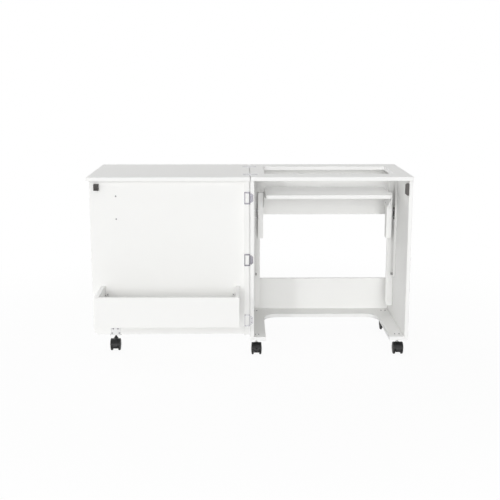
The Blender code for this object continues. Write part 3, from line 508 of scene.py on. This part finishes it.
def add_caster_screws(steel):
    """Add the screws under the casters' plates, and the ends that show on the base."""
    screw = screw_mesh(PAN_SCREW, PAN_RISE)
    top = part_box("base_panel")[1].z
    on_base = []
    under = []
    for row, along in BASE_SCREW_ALONG.items():
        for side, offsets in BASE_SCREWS.items():
            plate = f"caster_plate_{row}_{side}"
            place = middle(plate)
            on_base += [(place.x + offset, place.y + along, top) for offset in offsets]
            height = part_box(plate)[0].z
            for right in (-1, 1):
                for back in (-1, 1):
                    under.append((place.x + right * PLATE_SCREW, place.y + back * PLATE_SCREW, height))
    add_screws("base_screws", screw, on_base, UPWARD, "cabinet", steel)
    add_screws("caster_plate_screws", screw, under, DOWNWARD, "cabinet", steel)


def add_lift_screws(steel):
    """Add the screws of the slide rails and of the platform's brackets."""
    flush = screw_mesh(PAN_SCREW, FLUSH_RISE)
    pan = screw_mesh(PAN_SCREW, PAN_RISE)
    for side, inward in (("left", 1), ("right", -1)):
        low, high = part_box(f"{side}_slide_rail")
        floor = low.x + RAIL_WALL if inward > 0 else high.x - RAIL_WALL
        heights = (low.z + RAIL_SCREW_INSET, (low.z + high.z) / 2, high.z - RAIL_SCREW_INSET)
        places = [(floor, (low.y + high.y) / 2, height) for height in heights]
        add_screws(f"{side}_rail_screws", flush, places, (inward, 0, 0), "cabinet", steel)

        low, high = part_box(f"{side}_platform_bracket")
        upright = low.x + LIFT_STEEL if inward > 0 else high.x - LIFT_STEEL
        places = [(upright, high.y - back, high.z - drop) for back, drop in UPRIGHT_SCREWS]
        add_screws(f"{side}_bracket_upright_screws", pan, places, (inward, 0, 0), "lift", steel)
        edge = high.x if inward > 0 else low.x
        across = edge - inward * FLANGE_SCREW_ACROSS
        places = [(across, low.y + along, high.z - LIFT_STEEL) for along in FLANGE_SCREWS]
        add_screws(f"{side}_bracket_flange_screws", pan, places, DOWNWARD, "lift", steel)


def tube_mesh(name, radius, length):
    """Make a tube that slips over a pin along +Z, with softened rims."""
    outer = radius + TUBE_WALL
    profile = [
        (radius, 0),
        (outer - TUBE_RIM, 0),
        (outer, TUBE_RIM),
        (outer, length - TUBE_RIM),
        (outer - TUBE_RIM, length),
        (radius, length),
        (radius, 0),
    ]
    return to_mesh(lathe(profile, TUBE_SIDES), name)


def add_tubes(steel, coat):
    """Add the steel tubes on the slide shoes' pins, and white tubes on the casters' stems as painted
    reflection.
    """
    pin = tube_mesh("pin_tube", PIN_RADIUS, PIN_LENGTH)
    for side, inward in (("left", 1), ("right", -1)):
        low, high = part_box(f"{side}_slide_shoe")
        foot = high.x - PIN_LENGTH if inward > 0 else low.x + PIN_LENGTH
        along = (low.y + high.y) / 2
        height = (low.z + high.z) / 2
        places = [(foot, along, height + end * PIN_HALF_SPACING) for end in (-1, 1)]
        name = f"{side}_shoe_pin_tubes"
        add_piece(name, copies(name, pin, places, (inward, 0, 0)), "lift", steel)

    # The stems' steel gets the white coat: a painted reflection of the white floor round them.
    stem = tube_mesh("stem_tube", STEM_RADIUS, STEM_LENGTH)
    for row in ("front", "back"):
        for side in ("left", "right"):
            axis = middle(f"caster_plate_{row}_{side}")
            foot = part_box(f"caster_hood_{row}_{side}")[1].z - STEM_LENGTH
            name = f"caster_stem_{row}_{side}"
            mesh = copies(name, stem, [(axis.x, axis.y, foot)], UPWARD)
            add_piece(name, mesh, f"swivel_{row}_{side}", coat)


def add_bin_corners(coat, steel):
    """Add the small angle brackets that tie the bin's ends to the door, with their screws."""
    screw = screw_mesh(SMALL_SCREW, PAN_RISE)
    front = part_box("door_panel")[0].y
    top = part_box("bin_front")[1].z - CORNER_DROP
    outline = [(0, 0), (CORNER_LEG, 0), (CORNER_LEG, CORNER_STEEL), (CORNER_STEEL, CORNER_STEEL)]
    outline += [(CORNER_STEEL, CORNER_LEG), (0, CORNER_LEG)]
    along = CORNER_SCREW * CORNER_LEG
    for end, side in (("left", 1), ("right", -1)):
        low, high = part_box(f"bin_{end}_end")
        face = high.x if side > 0 else low.x
        shape = bmesh.new()
        points = [shape.verts.new((face + side * x, front - y, top)) for x, y in outline]
        flat = bmesh.ops.extrude_face_region(shape, geom=[shape.faces.new(points)])
        lower = [item for item in flat["geom"] if isinstance(item, bmesh.types.BMVert)]
        bmesh.ops.translate(shape, verts=lower, vec=(0, 0, -CORNER_LEG))
        bmesh.ops.recalc_face_normals(shape, faces=shape.faces)
        soften(shape, CORNER_BEVEL, CORNER_BEVEL_STEPS)
        name = f"bin_{end}_corner"
        add_piece(name, to_mesh(shape, name), "door", coat)
        height = top - CORNER_LEG / 2
        on_door = [(face + side * along, front - CORNER_STEEL, height)]
        add_screws(f"{name}_door_screw", screw, on_door, FRONTWARD, "door", steel)
        on_end = [(face + side * CORNER_STEEL, front - along, height)]
        add_screws(f"{name}_end_screw", screw, on_end, (side, 0, 0), "door", steel)


def add_wheels(nylon):
    """Stand round wheels with hub caps and rim grooves in for the frame's faceted ones."""
    for which in CASTERS:
        node = f"caster_wheels_{which}"
        low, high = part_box(node)
        radius = (high.z - low.z) / 2
        face = (high.x - low.x) / 2
        half = [(0, face)] + [(share * radius, face - depth) for share, depth in WHEEL_FACE]
        half += [
            (radius, face - TREAD_OUTER),
            (radius, WHEEL_INNER + TREAD_SHOULDER),
            (radius - SHOULDER_MIDDLE, WHEEL_INNER + SHOULDER_MIDDLE),
            (radius - TREAD_SHOULDER, WHEEL_INNER),
            (WHEEL_AXLE, WHEEL_INNER),
        ]
        outline = half + [(distance, -height) for distance, height in reversed(half)]
        wheels = to_mesh(lathe(outline, WHEEL_SIDES), f"{node}_round")
        mesh = copies(wheels.name, wheels, [(low + high) / 2], RIGHTWARD)
        piece = add_piece(f"{node}_round", mesh, f"wheels_{which}", nylon)
        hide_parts(node)


def round_wall(mesh, axle, radius):
    """Point the normals of a hood's round wall straight out from its axle, however its faces are cut."""
    normals = []
    for face in mesh.polygons:
        spoke = face.center - axle
        spoke.x = 0
        near = abs(spoke.length - radius) < HOOD_WALL_SLACK
        on_wall = near and face.normal.dot(spoke.normalized()) > HOOD_WALL_COSINE
        for corner in face.loop_indices:
            if on_wall:
                spoke = mesh.vertices[mesh.loops[corner].vertex_index].co - axle
                spoke.x = 0
                normals.append(spoke.normalized())
            else:
                normals.append(mesh.corner_normals[corner].vector.copy())
    mesh.normals_split_custom_set(normals)


def add_hoods(plastic):
    """Stand hoods with a higher lower edge in for the frame's, one of them with a deep mould hole."""
    for which in CASTERS:
        node = f"caster_hood_{which}"
        low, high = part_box(node)
        axle = middle(f"caster_wheels_{which}")
        cutter = bmesh.new()
        # The block that cuts the lower edge reaches as far below the floor as above it.
        wide = HOOD_CUTTER[0] * (high.x - low.x)
        deep = HOOD_CUTTER[1] * (high.y - low.y)
        reach = Matrix.Diagonal((wide, deep, 2 * HOOD_LIFT, 1))
        bmesh.ops.create_cube(cutter, size=1, matrix=Matrix.Translation((axle.x, axle.y, 0)) @ reach)
        source = which
        if which == MOULD_HOLE_CASTER:
            source = PLAIN_HOOD
            place = Matrix.Translation((axle.x, low.y, axle.z + MOULD_HOLE_RISE))
            bmesh.ops.create_cone(
                cutter, cap_ends=True, segments=MOULD_HOLE_SIDES, radius1=MOULD_HOLE_RADIUS,
                radius2=MOULD_HOLE_RADIUS, depth=2 * MOULD_HOLE_DEPTH,
                matrix=place @ Matrix.Rotation(math.pi / 2, 4, "X"),
            )
        hood = bmesh.new()
        hood.from_mesh(NODES[f"caster_hood_{source}"].data)
        bmesh.ops.remove_doubles(hood, verts=hood.verts, dist=WELD)
        bmesh.ops.translate(hood, verts=hood.verts, vec=axle - middle(f"caster_wheels_{source}"))
        mesh = flat_faces(cut(to_mesh(hood, node), to_mesh(cutter, "hood_cutter")))
        piece = add_piece(f"{node}_moulded", mesh, f"swivel_{which}", plastic)
        round_wall(piece.data, axle, axle.y - low.y)
        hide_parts(node)


def add_strike(plastic):
    """Stand a smaller, drafted block with rounded edges in for the frame's strike."""
    low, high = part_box("catch_strike")
    size = (STRIKE_WIDTH, high.y - low.y, STRIKE_HEIGHT)
    centre = Vector((
        high.x - STRIKE_RIGHT_INSET - STRIKE_WIDTH / 2, (low.y + high.y) / 2, high.z - STRIKE_HEIGHT / 2
    ))
    block = bmesh.new()
    bmesh.ops.create_cube(block, size=1)
    for point in block.verts:
        draft = STRIKE_DRAFT if point.co.y < 0 else 1
        point.co = Vector((point.co.x * draft, point.co.y, point.co.z * draft))
    placed = Matrix.Translation(centre) @ Matrix.Diagonal((*size, 1))
    bmesh.ops.transform(block, verts=block.verts, matrix=placed)
    soften(block, STRIKE_ROUND, STRIKE_ROUND_STEPS)
    mesh = to_mesh(block, "catch_strike_block")
    piece = add_piece("catch_strike_block", mesh, "door", plastic)
    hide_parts("catch_strike")


def seen_directly(tree):
    """Give 1 where a ray comes from the camera, or from a glossy or clear surface, and 0 for light."""
    path = tree.nodes.new("ShaderNodeLightPath")
    total = path.outputs["Is Camera Ray"]
    for name in ("Is Glossy Ray", "Is Transmission Ray"):
        both = tree.nodes.new("ShaderNodeMath")
        both.operation = "MAXIMUM"
        tree.links.new(total, both.inputs[0])
        tree.links.new(path.outputs[name], both.inputs[1])
        total = both.outputs[0]
    return total


def add_floor():
    """Add the pale floor, which keeps the object's shadow near it and turns plain white further off."""
    shape = bmesh.new()
    bmesh.ops.create_grid(shape, x_segments=1, y_segments=1, size=FLOOR_HALF)
    floor = bpy.data.objects.new("floor", to_mesh(shape, "floor"))
    floor.location.z = -FLOOR_DROP
    bpy.context.scene.collection.objects.link(floor)

    made = bpy.data.materials.new("studio_floor")
    made.use_nodes = True
    tree = made.node_tree
    tree.nodes.remove(tree.nodes["Principled BSDF"])
    shaded = tree.nodes.new("ShaderNodeBsdfDiffuse")
    shaded.inputs["Color"].default_value = FLOOR_WHITE
    white = tree.nodes.new("ShaderNodeEmission")
    white.inputs["Color"].default_value = PLAIN_WHITE
    place = tree.nodes.new("ShaderNodeTexCoord")
    distance = tree.nodes.new("ShaderNodeVectorMath")
    distance.operation = "LENGTH"
    tree.links.new(place.outputs["Object"], distance.inputs[0])
    whiteness = tree.nodes.new("ShaderNodeMapRange")
    whiteness.interpolation_type = "SMOOTHSTEP"
    whiteness.inputs["From Min"].default_value = FLOOR_FADE[0]
    whiteness.inputs["From Max"].default_value = FLOOR_FADE[1]
    whiteness.inputs["To Min"].default_value = 1 - FLOOR_SHADE
    tree.links.new(distance.outputs["Value"], whiteness.inputs["Value"])
    seen = tree.nodes.new("ShaderNodeMath")
    seen.operation = "MULTIPLY"
    tree.links.new(whiteness.outputs["Result"], seen.inputs[0])
    tree.links.new(seen_directly(tree), seen.inputs[1])
    blend = tree.nodes.new("ShaderNodeMixShader")
    tree.links.new(seen.outputs[0], blend.inputs["Fac"])
    tree.links.new(shaded.outputs["BSDF"], blend.inputs[1])
    tree.links.new(white.outputs["Emission"], blend.inputs[2])
    tree.links.new(blend.outputs["Shader"], tree.nodes["Material Output"].inputs["Surface"])
    floor.data.materials.append(made)


def add_world():
    """Add a white backdrop that lights the object at a plain, even level."""
    world = bpy.data.worlds.new("studio")
    bpy.context.scene.world = world
    world.use_nodes = True
    tree = world.node_tree
    background = tree.nodes["Background"]
    background.inputs["Color"].default_value = PLAIN_WHITE
    level = tree.nodes.new("ShaderNodeMapRange")
    level.inputs["To Min"].default_value = WORLD_LEVEL
    level.inputs["To Max"].default_value = BACKDROP_LEVEL
    tree.links.new(seen_directly(tree), level.inputs["Value"])
    tree.links.new(level.outputs["Result"], background.inputs["Strength"])


def add_lamps():
    """Add the soft lamps, far enough away to light the object's near and far sides alike."""
    for name, (around, up, spread, strength) in LAMPS.items():
        around = math.radians(around)
        up = math.radians(up)
        data = bpy.data.lights.new(name, "SUN")
        data.angle = math.radians(spread)
        data.energy = strength
        lamp = bpy.data.objects.new(name, data)
        level = math.cos(up)
        towards = Vector((math.sin(around) * level, -math.cos(around) * level, math.sin(up)))
        lamp.rotation_euler = towards.to_track_quat("Z", "Y").to_euler()
        bpy.context.scene.collection.objects.link(lamp)


def add_camera():
    """Add the camera where the photograph was taken from."""
    data = bpy.data.cameras.new("camera")
    data.sensor_width = CAMERA_SENSOR
    data.lens = CAMERA_LENS
    camera = bpy.data.objects.new("camera", data)
    camera.location = CAMERA_PLACE
    camera.rotation_euler = (math.pi / 2 - CAMERA_PITCH, 0, -CAMERA_YAW)
    bpy.context.scene.collection.objects.link(camera)
    bpy.context.scene.camera = camera


def main():
    """Dress the frame and set the studio round it."""
    bright = zinc("zinc_plated_steel", ZINC_DARK, ZINC_PALE)
    grey = zinc("grey_zinc", GREY_ZINC_DARK, GREY_ZINC_PALE)
    coat = powder_coat()
    nylon = black_nylon()
    black = moulded_plastic("black_plastic", BLACK, BLACK_GREY)
    finishes = {
        "white_melamine": [melamine(axis) for axis in range(3)],
        "zinc_plated_steel": bright,
        "white_coated_steel": coat,
        "brushed_nickel": nickel(),
        "black_plastic": black,
        "black_nylon": nylon,
    }
    stop = moulded_plastic("grey_stop", STOP_GREY, STOP_PALE)
    own = {
        "catch_body": moulded_plastic("brown_catch", CATCH_BROWN, CATCH_PALE),
        "left_rail_stop": stop,
        "right_rail_stop": stop,
        "door_caster_bracket": zinc("new_zinc", NEW_ZINC_DARK, NEW_ZINC_PALE),
    }
    for which in ("middle", "top"):
        for kind in ("frame", "tongue", "pin"):
            own[f"door_hinge_{kind}_{which}"] = grey
    paint_nodes(finishes, own)
    add_hinge_screws(grey)
    add_door_screws(grey)
    add_caster_screws(grey)
    add_lift_screws(bright)
    add_tubes(bright, coat)
    add_bin_corners(coat, grey)
    add_wheels(nylon)
    add_hoods(black)
    add_strike(moulded_plastic("brown_strike", STRIKE_BROWN, STRIKE_PALE))
    add_floor()
    add_world()
    add_lamps()
    add_camera()
    bpy.context.scene.view_settings.view_transform = "Standard"


main()
